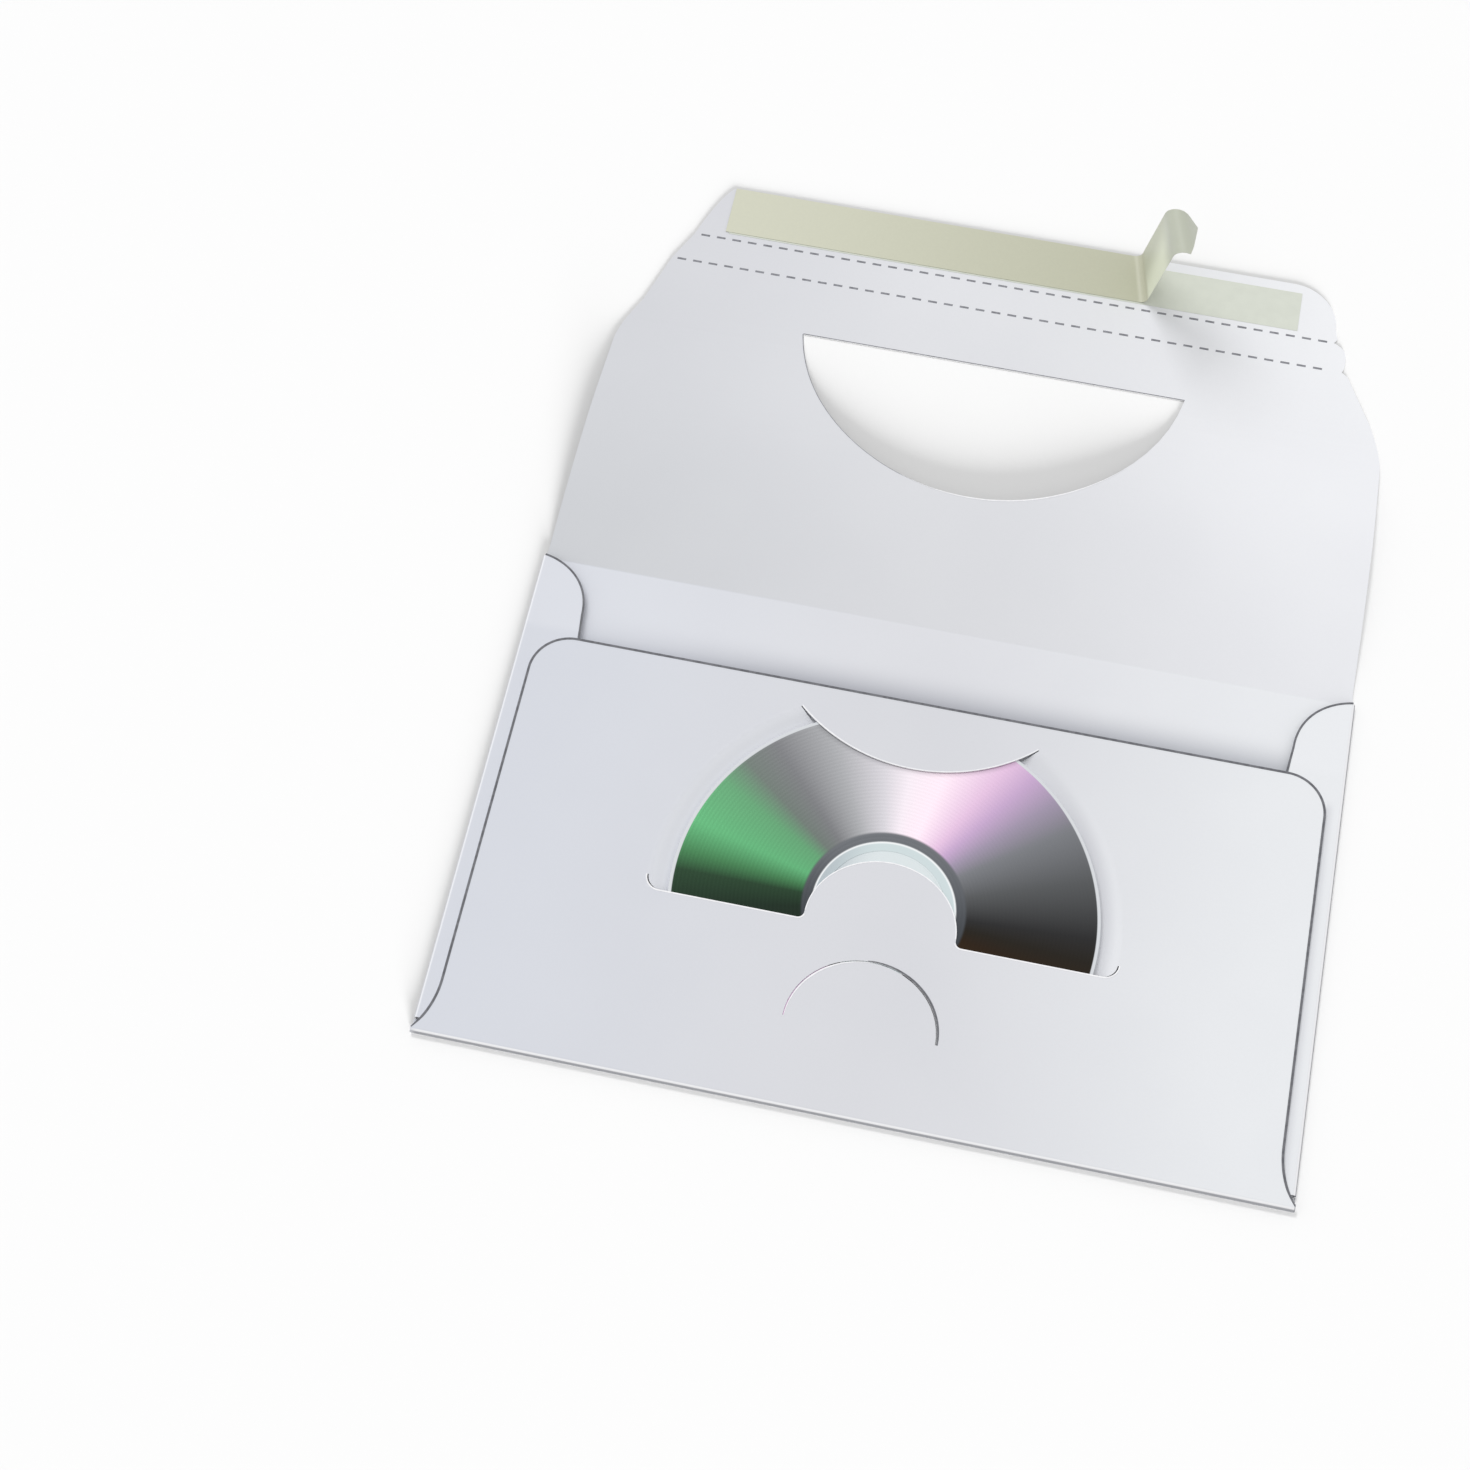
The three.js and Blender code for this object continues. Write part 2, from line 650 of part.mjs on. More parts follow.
function place(name, geometry, material) {
  const mesh = new THREE.Mesh(geometry, material);
  mesh.name = name;
  sleeve.add(mesh);
}

place('card_sleeve', cardSleeve(), materials.card);
place('disc', disc(), materials.disc);
place('seal_adhesive', sealAdhesive(), materials.adhesive);
place('release_liner', releaseLiner(), materials.liner);
place('glue_seam_left', glueSeam(-1), materials.glue);
place('glue_seam_right', glueSeam(1), materials.glue);

sleeve.position.y = -totalLength / 2;

export default sleeve;
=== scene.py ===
"""Looks of the open card disc sleeve: card, held disc, seal strip and its peeled liner. Metres, +Z up."""
import math

import bmesh
import bpy
from mathutils import Matrix, Vector


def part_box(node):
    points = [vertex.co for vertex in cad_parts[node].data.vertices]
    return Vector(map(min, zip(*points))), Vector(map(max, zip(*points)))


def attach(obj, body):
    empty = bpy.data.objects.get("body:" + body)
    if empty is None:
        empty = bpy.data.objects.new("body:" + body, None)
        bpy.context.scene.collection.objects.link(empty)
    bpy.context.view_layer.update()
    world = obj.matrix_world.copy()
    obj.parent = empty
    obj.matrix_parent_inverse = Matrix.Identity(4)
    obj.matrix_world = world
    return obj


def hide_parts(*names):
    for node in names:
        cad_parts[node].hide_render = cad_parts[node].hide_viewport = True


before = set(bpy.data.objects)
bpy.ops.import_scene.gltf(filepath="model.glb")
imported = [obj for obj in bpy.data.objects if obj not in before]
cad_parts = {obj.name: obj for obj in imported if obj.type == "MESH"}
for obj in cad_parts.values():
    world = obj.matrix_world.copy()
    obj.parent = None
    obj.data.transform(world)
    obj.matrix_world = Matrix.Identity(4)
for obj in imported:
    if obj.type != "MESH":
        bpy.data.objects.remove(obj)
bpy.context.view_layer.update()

# Places taken from the frame
card_low, card_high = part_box("card_sleeve")
disc_low, disc_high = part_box("disc")
HALF_WIDTH = card_high[0]
BOTTOM_Y = card_low[1]
TIP_Y = card_high[1]
DISC_X = (disc_low[0] + disc_high[0]) / 2
DISC_Y = (disc_low[1] + disc_high[1]) / 2
DISC_RADIUS = (disc_high[0] - disc_low[0]) / 2
DISC_TOP = disc_high[2]

# The sleeve's own sizes, as the solids have them
CARD = 0.0004
DISC_PLAY = 0.0001
PANEL_TOP = DISC_TOP + DISC_PLAY + CARD
SIDE_FLAP_TOP = DISC_TOP
OPEN_STRIP = 0.0255
TONGUE_MARGIN = 0.0043
POCKET_TOP_Y = DISC_Y + DISC_RADIUS + TONGUE_MARGIN
CREASE_Y = POCKET_TOP_Y + OPEN_STRIP
POCKET_INSET = 0.0046
POCKET_CORNER = 0.012
POCKET_FLARE = 0.015
SIDE_FLAP_WIDTH = 0.0156
SIDE_FLAP_CURVE = 0.0175
SLIT_DROP = 0.0073
SLIT_Y = DISC_Y - SLIT_DROP
SLIT_CURL = 0.0038
DISH_RIM = 0.066
TAB_RADIUS = 0.0214
TAB_RISE = 0.0196
TAB_FOOT = 0.0016
TONGUE_RADIUS = 0.0512
TONGUE_OVERLAP = 0.017
TONGUE_TIP_Y = DISC_Y + DISC_RADIUS - TONGUE_OVERLAP
TONGUE_Y = TONGUE_TIP_Y + TONGUE_RADIUS
HALF_MOON_RADIUS = 0.021
HALF_MOON_RISE = 0.0198
HALF_MOON_DROP = 0.0289
HALF_MOON_Y = SLIT_Y - HALF_MOON_DROP
ARCH_RISE = 0.004

# The window is the disc's opening, mirrored about the crease and a little moved
WINDOW_FAR_SHIFT = 0.0038
WINDOW_NEAR_SHIFT = 0.003
WINDOW_MARGIN = 0.0003
WINDOW_CHORD_Y = 2 * CREASE_Y - SLIT_Y - WINDOW_FAR_SHIFT
WINDOW_RADIUS = DISC_RADIUS + WINDOW_MARGIN
WINDOW_CENTRE_Y = 2 * CREASE_Y - TONGUE_TIP_Y - WINDOW_NEAR_SHIFT + WINDOW_RADIUS

# The two rows of short cuts beside the tear strip: level, left end and right end
TEAR_DROP = 0.0196
TEAR_WIDTH = 0.0103
TEAR_TOP_Y = TIP_Y - TEAR_DROP
TEAR_LOW_Y = TEAR_TOP_Y - TEAR_WIDTH
PERFORATIONS = {"low": (TEAR_LOW_Y, -HALF_WIDTH + 0.0143, HALF_WIDTH - 0.0210),
                "high": (TEAR_TOP_Y, -HALF_WIDTH + 0.0193, HALF_WIDTH - 0.0201)}
SLOT_LENGTH = 0.0028
SLOT_PITCH = 0.005
SLOT_WIDTH = 0.00075

# The thin strips that draw the cut edges: dark strips of painted shade and white ones of painted highlight
CUT_HALF_WIDTH = 0.000175
LIP_SINK = 0.00005
LIP_HEIGHT = 0.00012
LINE_LIFT = 0.00001
LINE_HEIGHT = 0.00005

# Rings of the disc, as radii
HUB_STEP = 0.0176
HUB_EDGE = 0.0198
CLEAR_EDGE = 0.0203
MIRROR_EDGE = 0.0233
RIM_EDGE = 0.0589
GROOVE_PITCH = 0.0011

# The camera, fitted to the photograph
CAMERA_PLACE = (0.01545, -0.34594, 0.65595)
CAMERA_PITCH = 64.553
CAMERA_TURN = 12.568
CAMERA_ROLL = -0.604
LENS = 62.086
SENSOR_WIDTH = 36


def srgb(red, green, blue):
    """A colour given as 0 to 255 screen values, in the linear values that the shader takes."""
    def linear(value):
        value = value / 255
        return value / 12.92 if value <= 0.04045 else ((value + 0.055) / 1.055) ** 2.4
    return (linear(red), linear(green), linear(blue), 1.0)


class Nodes:
    """Short calls for building a material's nodes."""

    def __init__(self, name):
        self.material = bpy.data.materials.new(name)
        self.material.use_nodes = True
        self.tree = self.material.node_tree
        self.shader = self.tree.nodes["Principled BSDF"]

    def add(self, kind, **settings):
        node = self.tree.nodes.new(kind)
        for key, value in settings.items():
            setattr(node, key, value)
        return node

    def link(self, source, target):
        self.tree.links.new(source, target)

    def place(self, output="Object"):
        return self.add("ShaderNodeTexCoord").outputs[output]

    def axes(self, vector):
        split = self.add("ShaderNodeSeparateXYZ")
        self.link(vector, split.inputs[0])
        return split.outputs

    def math(self, operation, first, second=None, third=None):
        node = self.add("ShaderNodeMath", operation=operation)
        for socket, value in zip(node.inputs, (first, second, third)):
            if value is None:
                continue
            if isinstance(value, (int, float)):
                socket.default_value = value
            else:
                self.link(value, socket)
        return node.outputs[0]

    def all_of(self, first, *others):
        """The product of masks: where all of them hold."""
        for other in others:
            first = self.math("MULTIPLY", first, other)
        return first

    def length(self, across, along):
        """The distance that two offsets at right angles make."""
        return self.math("SQRT", self.math("ADD", self.all_of(across, across), self.all_of(along, along)))

    def span(self, value, low, high, out_low=0.0, out_high=1.0):
        node = self.add("ShaderNodeMapRange", interpolation_type="SMOOTHSTEP")
        self.link(value, node.inputs["Value"])
        node.inputs["From Min"].default_value = low
        node.inputs["From Max"].default_value = high
        node.inputs["To Min"].default_value = out_low
        node.inputs["To Max"].default_value = out_high
        return node.outputs[0]

    def mix(self, factor, first, second, blend="MIX"):
        node = self.add("ShaderNodeMix", data_type="RGBA", blend_type=blend)
        for socket, value in zip((node.inputs[0], node.inputs[6], node.inputs[7]), (factor, first, second)):
            if isinstance(value, (int, float, tuple)):
                socket.default_value = value
            else:
                self.link(value, socket)
        return node.outputs[2]

    def noise(self, vector, scale, detail, rough=0.5):
        node = self.add("ShaderNodeTexNoise")
        self.link(vector, node.inputs["Vector"])
        node.inputs["Scale"].default_value = scale
        node.inputs["Detail"].default_value = detail
        node.inputs["Roughness"].default_value = rough
        return node.outputs["Fac"]

    def ramp(self, value, stops):
        node = self.add("ShaderNodeValToRGB")
        band = node.color_ramp
        while len(band.elements) < len(stops):
            band.elements.new(0.5)
        for element, (position, colour) in zip(band.elements, stops):
            element.position = position
            element.color = colour
        self.link(value, node.inputs[0])
        return node.outputs[0]

    def bump(self, height, strength, distance):
        node = self.add("ShaderNodeBump")
        node.inputs["Strength"].default_value = strength
        node.inputs["Distance"].default_value = distance
        self.link(height, node.inputs["Height"])
        self.link(node.outputs[0], self.shader.inputs["Normal"])

    def set(self, **values):
        for key, value in values.items():
            self.shader.inputs[key.replace("_", " ")].default_value = value


def card_material():
    """White coated board: cooler in tone at the left, with painted light making it lighter to the right,
    painted shade darkening the flap's inside near its crease, painted highlight and shade on the folds, and
    white cut edges.
    """
    n = Nodes("white_card")
    spot = n.place()
    x, y, z = n.axes(spot)
    soft = 0.0004

    # The broad colours of the body's outside and of the flap's inside: cooler in tone at the left, with
    # painted light making both lighter towards the right, and painted shade that darkens the flap's inside
    # near its crease and fades towards its tip
    left = n.span(x, -HALF_WIDTH, 0)
    right = n.span(x, 0, HALF_WIDTH)
    front = n.mix(right, n.mix(left, srgb(215, 218, 226), srgb(218, 219, 224)), srgb(235, 237, 240))
    inside = n.mix(right, n.mix(left, srgb(209, 211, 215), srgb(220, 221, 225)), srgb(236, 237, 241))
    tip = n.mix(right, n.mix(left, srgb(216, 217, 222), srgb(228, 229, 233)), srgb(244, 245, 248))
    flap = n.mix(n.span(y, CREASE_Y, TIP_Y), inside, tip)
    colour = n.mix(n.span(y, CREASE_Y - soft, CREASE_Y + soft), front, flap)
    # Painted light: the back panel's strip between the pocket's edge and the crease is lightened a little
    strip = n.all_of(n.span(y, POCKET_TOP_Y, POCKET_TOP_Y + 0.004),
                     n.span(y, CREASE_Y - soft, CREASE_Y, 0.16, 0.0))
    colour = n.mix(strip, colour, srgb(246, 247, 251))

    # Cloudy coating and fine fibres
    cloud = n.noise(spot, 18, 3.0)
    colour = n.mix(n.span(cloud, 0.3, 0.7, 0.0, 0.10), colour, srgb(226, 227, 231), "MULTIPLY")
    fibre = n.noise(spot, 1400, 4.0, 0.6)
    speckle = n.ramp(fibre, [(0.3, (0.6, 0.6, 0.6, 1)), (0.7, (1, 1, 1, 1))])
    colour = n.mix(0.03, colour, speckle, "MULTIPLY")

    # Painted shade on the back panel above the pocket's edge, strongest next to the edge and weaker at the
    # left
    painted_shade_band = n.all_of(n.span(y, POCKET_TOP_Y, POCKET_TOP_Y + 0.0145, 1.0, 0.0),
                   n.span(y, POCKET_TOP_Y - 0.0003, POCKET_TOP_Y),
                   n.span(z, 2 * CARD, 3 * CARD, 1.0, 0.0),
                   n.span(x, -0.105, -0.030, 0.60, 1.0))
    painted_shade_band = n.math("MULTIPLY", n.math("POWER", painted_shade_band, 2.2), 0.9)
    colour = n.mix(painted_shade_band, colour, srgb(205, 206, 210), "MULTIPLY")

    # The slope of the dish round the disc: painted light makes it lighter at the left, and painted shadow
    # darkens it at the right beside the disc's rim
    dx = n.math("SUBTRACT", x, DISC_X)
    radius = n.length(dx, n.math("SUBTRACT", y, DISC_Y))
    reach = n.length(dx, n.math("SUBTRACT", y, TONGUE_Y))
    dish = n.all_of(n.span(y, SLIT_Y - 0.0001, SLIT_Y + 0.0001),
                    n.span(reach, TONGUE_RADIUS - 0.0001, TONGUE_RADIUS + 0.0001))
    dish_painted_light = n.all_of(n.span(radius, 0.0603, 0.0618), n.span(radius, 0.0640, 0.0668, 1.0, 0.0), dish,
                    n.span(dx, -0.050, 0.010, 0.6, 0.0))
    colour = n.mix(dish_painted_light, colour, srgb(232, 234, 239))
    dish_painted_shade = n.all_of(n.span(dx, 0.030, 0.055), n.span(radius, 0.0606, 0.0650, 0.8, 0.0), dish,
                    n.span(radius, 0.0600, 0.0606))
    colour = n.mix(dish_painted_shade, colour, srgb(204, 205, 210))

    # White cut edges
    facing = n.math("ABSOLUTE", n.axes(n.place("Normal"))[2])
    colour = n.mix(n.span(facing, 0.15, 0.6, 0.9, 0.0), colour, srgb(250, 250, 251))

    # The shade of the pocket panel's edge on the right side flap
    edge_x = HALF_WIDTH - POCKET_INSET
    below = n.all_of(n.span(x, edge_x, edge_x + 0.0028, 0.45, 0.0),
                     n.span(x, edge_x - 0.0002, edge_x),
                     n.span(z, PANEL_TOP - 0.0003, PANEL_TOP - 0.0002, 1.0, 0.0),
                     n.span(y, POCKET_TOP_Y - 0.010, POCKET_TOP_Y - 0.006, 1.0, 0.0))
    colour = n.mix(below, colour, srgb(196, 197, 203))

    # The folds: a painted highlight on the crest, with painted shade as a dark line outside it
    body = n.span(y, CREASE_Y, CREASE_Y + soft, 1.0, 0.0)
    side = n.all_of(n.span(n.math("ABSOLUTE", x), HALF_WIDTH - 0.0014, HALF_WIDTH - 0.0008), body)
    fold = n.math("MAXIMUM", side, n.span(y, BOTTOM_Y + 0.0008, BOTTOM_Y + 0.0014, 1.0, 0.0))
    turned = n.all_of(n.span(facing, 0.90, 0.985, 1.0, 0.0),
                      n.span(x, -HALF_WIDTH, -HALF_WIDTH + 0.002, 0.45, 1.0))
    fold_highlight_shade = n.mix(n.span(facing, 0.55, 0.80), srgb(166, 167, 172), srgb(248, 248, 250))
    colour = n.mix(n.all_of(fold, turned), colour, fold_highlight_shade)
    # Painted shade: a dark line along the body's outermost right edge
    right_edge_painted_shade = n.all_of(n.span(x, HALF_WIDTH - 0.00045, HALF_WIDTH - 0.00015, 0.0, 0.6), body)
    colour = n.mix(right_edge_painted_shade, colour, srgb(140, 141, 146))

    n.link(colour, n.shader.inputs["Base Color"])
    n.link(n.span(fibre, 0.2, 0.8, 0.50, 0.66), n.shader.inputs["Roughness"])
    n.bump(fibre, 0.10, 0.00003)
    n.set(Specular_IOR_Level=0.3)
    return n.material


# Painted reflection: the bands of colour that the disc's grooves throw back, round the disc: an angle in
# degrees from its right-hand side, and a screen colour
DISC_REFLECTION_STOPS = [
    (-180, (32, 60, 38)), (-170, (18, 38, 24)), (-158, (22, 36, 26)), (-146, (118, 112, 124)),
    (-134, (186, 164, 194)), (-122, (222, 190, 220)), (-106, (248, 236, 244)), (-90, (232, 224, 234)),
    (-72, (186, 188, 190)), (-52, (128, 128, 130)), (-38, (92, 70, 42)), (-24, (46, 28, 4)),
    (-12, (38, 22, 2)), (-4, (30, 25, 17)), (3, (38, 38, 39)), (20, (84, 86, 88)),
    (36, (120, 122, 127)), (45, (156, 144, 166)), (54, (194, 164, 201)), (62, (224, 190, 220)),
    (77, (250, 230, 242)), (90, (238, 228, 236)), (100, (208, 205, 211)), (116, (164, 165, 168)),
    (132, (118, 119, 122)), (142, (106, 116, 110)), (151, (94, 154, 110)), (165, (92, 168, 114)),
    (174, (62, 118, 74)), (180, (32, 60, 38)),
]


def disc_material():
    """Reading side of the disc: painted reflections as bands of colour round its centre and a mirror ring
    darker at its bottom, a clear hub with a painted highlight and painted shade, the tongue's painted
    shadow, and a clear rim.
    """
    n = Nodes("disc_reading_side")
    x, y, _ = n.axes(n.place())
    dx = n.math("SUBTRACT", x, DISC_X)
    dy = n.math("SUBTRACT", y, DISC_Y)
    radius = n.length(dx, dy)

    # The grooved part and the mirror ring inside it, both painted reflections; the mirror ring is painted
    # darker towards its bottom
    share = n.math("MULTIPLY_ADD", n.math("ARCTAN2", dy, dx), 1 / (2 * math.pi), 0.5)
    reflection_bands = n.ramp(share, [((angle + 180) / 360, srgb(*colour)) for angle, colour in DISC_REFLECTION_STOPS])
    groove = n.math("SINE", n.math("MULTIPLY", radius, 2 * math.pi / GROOVE_PITCH))
    reflection_bands = n.mix(n.span(groove, -1, 1, 0.0, 0.05), reflection_bands, (0.6, 0.6, 0.6, 1.0), "MULTIPLY")
    mirror = n.mix(n.span(dy, -0.008, 0.022), srgb(58, 62, 67), srgb(106, 109, 114))
    colour = n.mix(n.span(radius, MIRROR_EDGE - 0.0009, MIRROR_EDGE), mirror, reflection_bands)

    # The clear hub, with a painted highlight as a white line at its outer edge and painted shade at its left
    colour = n.mix(n.span(radius, HUB_EDGE, CLEAR_EDGE), srgb(246, 249, 250), colour)
    colour = n.mix(n.span(radius, HUB_EDGE - 0.0005, HUB_EDGE), srgb(206, 219, 221), colour)
    colour = n.mix(n.span(radius, HUB_STEP - 0.0006, HUB_STEP), srgb(220, 228, 230), colour)
    shaded = n.all_of(n.span(dx, -0.020, -0.004, 0.55, 0.0),
                      n.span(radius, HUB_EDGE - 0.0003, HUB_EDGE, 1.0, 0.0))
    colour = n.mix(shaded, colour, srgb(150, 158, 168))

    # The tongue's shade, and the clear rim
    reach = n.length(dx, n.math("SUBTRACT", y, TONGUE_Y))
    colour = n.mix(n.span(reach, TONGUE_RADIUS, TONGUE_RADIUS + 0.0016, 0.25, 0.0), colour, srgb(90, 90, 94))
    colour = n.mix(n.span(radius, RIM_EDGE, RIM_EDGE + 0.0003), colour, srgb(214, 217, 221))

    n.link(colour, n.shader.inputs["Base Color"])
    metal = n.all_of(n.span(radius, HUB_EDGE, CLEAR_EDGE),
                     n.span(radius, RIM_EDGE, RIM_EDGE + 0.0003, 0.75, 0.0))
    n.link(metal, n.shader.inputs["Metallic"])
    n.link(n.span(groove, -1, 1, 0.22, 0.27), n.shader.inputs["Roughness"])
    n.bump(groove, 0.04, 0.00002)
    n.set(Coat_Weight=0.06, Coat_Roughness=0.06, Specular_IOR_Level=0.5)
    return n.material


def adhesive_material():
    """The tacky film on the flap's tip, with faint streaks."""
    n = Nodes("seal_film")
    streak = n.noise(n.place(), 260, 3.0)
    colour = n.mix(n.span(streak, 0.3, 0.7), srgb(213, 217, 206), srgb(216, 220, 209))
    n.link(colour, n.shader.inputs["Base Color"])
    n.link(n.span(streak, 0.3, 0.7, 0.28, 0.40), n.shader.inputs["Roughness"])
    n.bump(streak, 0.10, 0.00004)
    n.set(Specular_IOR_Level=0.5)
    return n.material


def liner_material():
    """Satin release paper with a faint sheen, greener and darker towards the crease; its peeled end has a
    painted highlight low down and painted shade towards its tip and curled top.
    """
    n = Nodes("release_paper")
    spot = n.place()
    x, y, z = n.axes(spot)
    flat = n.mix(n.span(x, -0.092, 0.040), srgb(207, 208, 188), srgb(190, 191, 169))
    # Painted light and shade on the peeled end: lighter low down, darker towards its tip, and darkest at its
    # curled top
    peel = n.mix(n.span(y, TIP_Y - 0.017, TIP_Y - 0.006), srgb(224, 229, 206), srgb(190, 194, 172))
    peel = n.mix(n.span(z, 0.024, 0.036), peel, srgb(184, 188, 172))
    colour = n.mix(n.span(z, 0.0026, 0.0060), flat, peel)
    grain = n.noise(spot, 1100, 3.0, 0.6)
    speckle = n.ramp(grain, [(0.3, (0.5, 0.5, 0.5, 1)), (0.7, (1, 1, 1, 1))])
    colour = n.mix(0.05, colour, speckle, "MULTIPLY")
    n.link(colour, n.shader.inputs["Base Color"])
    n.link(n.span(grain, 0.2, 0.8, 0.34, 0.46), n.shader.inputs["Roughness"])
    n.bump(grain, 0.08, 0.00002)
    n.set(Specular_IOR_Level=0.5, Sheen_Weight=0.1)
    return n.material


def flecked_material(name, scale, dark, light, **settings):
    """A plain finish with faint flecks between two close colours."""
    n = Nodes(name)
    fleck = n.noise(n.place(), scale, 2.0)
    n.link(n.mix(n.span(fleck, 0.3, 0.7), srgb(*dark), srgb(*light)), n.shader.inputs["Base Color"])
    n.set(**settings)
    return n.material


def arc(centre_x, centre_y, radius, start, end, steps=24, rise=None):
    """Points along a round or, with its own rise, an oval stretch; angles in degrees."""
    points = []
    for step in range(steps + 1):
        angle = math.radians(start + (end - start) * step / steps)
        points.append(Vector((centre_x + radius * math.cos(angle),
                              centre_y + (rise or radius) * math.sin(angle))))
    return points


def bezier(start, near_start, near_end, end, steps=18):
    """Points along a smooth curve with two guide points."""
    points = []
    for step in range(steps + 1):
        t = step / steps
        s = 1 - t
        points.append(s ** 3 * Vector(start) + 3 * s * s * t * Vector(near_start)
                      + 3 * s * t * t * Vector(near_end) + t ** 3 * Vector(end))
    return points


def add_piece(name, mesh, data):
    """Puts an edited mesh into the scene as a piece of its own."""
    mesh.to_mesh(data)
    mesh.free()
    piece = bpy.data.objects.new(name, data)
    bpy.context.scene.collection.objects.link(piece)
    return piece


def line_strip(name, points, width, level, height, material, side, taper):
    """A thin closed strip that follows the points.

    side is the share of its width on the path's left, and taper gives its relative width along the path.
    """
    mesh = bmesh.new()
    rows = []
    for index, point in enumerate(points):
        before = points[max(index - 1, 0)]
        after = points[min(index + 1, len(points) - 1)]
        along = (after - before).normalized()
        left = Vector((-along.y, along.x))
        here = width * (taper(index / (len(points) - 1)) if taper else 1)
        outer = point + left * here * side
        inner = point - left * here * (1 - side)
        rows.append([mesh.verts.new((spot.x, spot.y, up))
                     for spot, up in ((outer, level), (inner, level),
                                      (inner, level + height), (outer, level + height))])
    for low, high in zip(rows, rows[1:]):
        for corner in range(4):
            other = (corner + 1) % 4
            mesh.faces.new((low[corner], low[other], high[other], high[corner]))
    mesh.faces.new(rows[0])
    mesh.faces.new(list(reversed(rows[-1])))
    bmesh.ops.recalc_face_normals(mesh, faces=mesh.faces)
    piece = add_piece(name, mesh, bpy.data.meshes.new(name))
    piece.data.materials.append(material)
    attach(piece, "root")
    return piece


def pocket_edge_points():
    """The pocket panel's free edge, from the left bottom corner over the top to the right bottom corner."""
    side = HALF_WIDTH - POCKET_INSET
    foot = BOTTOM_Y + PANEL_TOP / 2
    flare_top = foot + POCKET_FLARE
    bend = foot + POCKET_FLARE * 0.45
    right = bezier((HALF_WIDTH, foot), (side + POCKET_INSET / 3, foot + (bend - foot) * 2 / 3),
                   (side, bend + (flare_top - bend) / 3), (side, flare_top))
    corner = arc(side - POCKET_CORNER, POCKET_TOP_Y - POCKET_CORNER, POCKET_CORNER, 0, 90)
    half = right + corner
    other = [Vector((-point.x, point.y)) for point in reversed(half)]
    return half + other


def side_flap_points(side):
    """The curved top edge of a side flap, from the body's corner down to the pocket panel."""
    inner = HALF_WIDTH - SIDE_FLAP_WIDTH
    middle = HALF_WIDTH - SIDE_FLAP_WIDTH * 0.5
    straight_top = CREASE_Y - SIDE_FLAP_CURVE
    curve = bezier((side * (HALF_WIDTH - 0.0006), CREASE_Y - 0.0002),
                   (side * middle, CREASE_Y - SIDE_FLAP_CURVE * 0.08),
                   (side * (inner + 0.0002), CREASE_Y - SIDE_FLAP_CURVE * 0.4),
                   (side * inner, straight_top))
    lean = 0.12 * (straight_top - POCKET_TOP_Y)
    curve.append(Vector((side * (inner - lean), POCKET_TOP_Y)))
    return curve


def lower_slit_parts():
    """The slit under the disc in three runs: left of the tab, round the tab, and right of it."""
    curl_y = SLIT_Y + SLIT_CURL
    curl_x = math.sqrt(DISH_RIM ** 2 - (DISC_Y - curl_y) ** 2) - SLIT_CURL
    foot_y = SLIT_Y + TAB_FOOT
    left = arc(DISC_X - curl_x, curl_y, SLIT_CURL, 180, 270, 10)
    left += arc(DISC_X - TAB_RADIUS - TAB_FOOT, foot_y, TAB_FOOT, 270, 345, 8)
    tab = arc(DISC_X, foot_y, TAB_RADIUS, 178, 2, 48, TAB_RISE)
    right = arc(DISC_X + TAB_RADIUS + TAB_FOOT, foot_y, TAB_FOOT, 195, 270, 8)
    right += arc(DISC_X + curl_x, curl_y, SLIT_CURL, 270, 360, 10)
    return left, tab, right


def tongue_points():
    """The tongue's round edge, out to the dish's rim."""
    rise = TONGUE_Y - DISC_Y
    above = (rise ** 2 + DISH_RIM ** 2 - TONGUE_RADIUS ** 2) / (2 * rise)
    reach = math.sqrt(DISH_RIM ** 2 - above ** 2)
    end = math.degrees(math.atan2(DISC_Y + above - TONGUE_Y, reach))
    return arc(DISC_X, TONGUE_Y, TONGUE_RADIUS, -180 - end, end, 48)


def dress_frame():
    """Gives each carried-over CAD node its material."""
    glue = flecked_material("set_glue", 400, (226, 222, 206), (238, 235, 222), Roughness=0.45)
    for name, material in (("card_sleeve", card_material()), ("disc", disc_material()),
                           ("seal_adhesive", adhesive_material()), ("release_liner", liner_material()),
                           ("glue_seam_left", glue), ("glue_seam_right", glue)):
        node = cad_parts[name]
        node.data.materials.clear()
        node.data.materials.append(material)


def welded_copy(name, weld):
    """A copy of a CAD node's mesh, open to be edited, with its doubled corners joined."""
    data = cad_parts[name].data.copy()
    mesh = bmesh.new()
    mesh.from_mesh(data)
    bmesh.ops.remove_doubles(mesh, verts=mesh.verts, dist=weld)
    return data, mesh


def shade_smooth(mesh, sharp):
    """Smooth shading, apart from edges that turn by more than sharp degrees."""
    for face in mesh.faces:
        face.smooth = True
    for edge in mesh.edges:
        if len(edge.link_faces) == 2 and edge.calc_face_angle() > math.radians(sharp):
            edge.smooth = False


def add_fine_liner():
    """The peeled liner again, with the same form and a smooth surface."""
    data, mesh = welded_copy("release_liner", 0.000002)
    shade_smooth(mesh, 50)
    piece = add_piece("peel_liner", mesh, data)
    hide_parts("release_liner")
    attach(piece, "root")


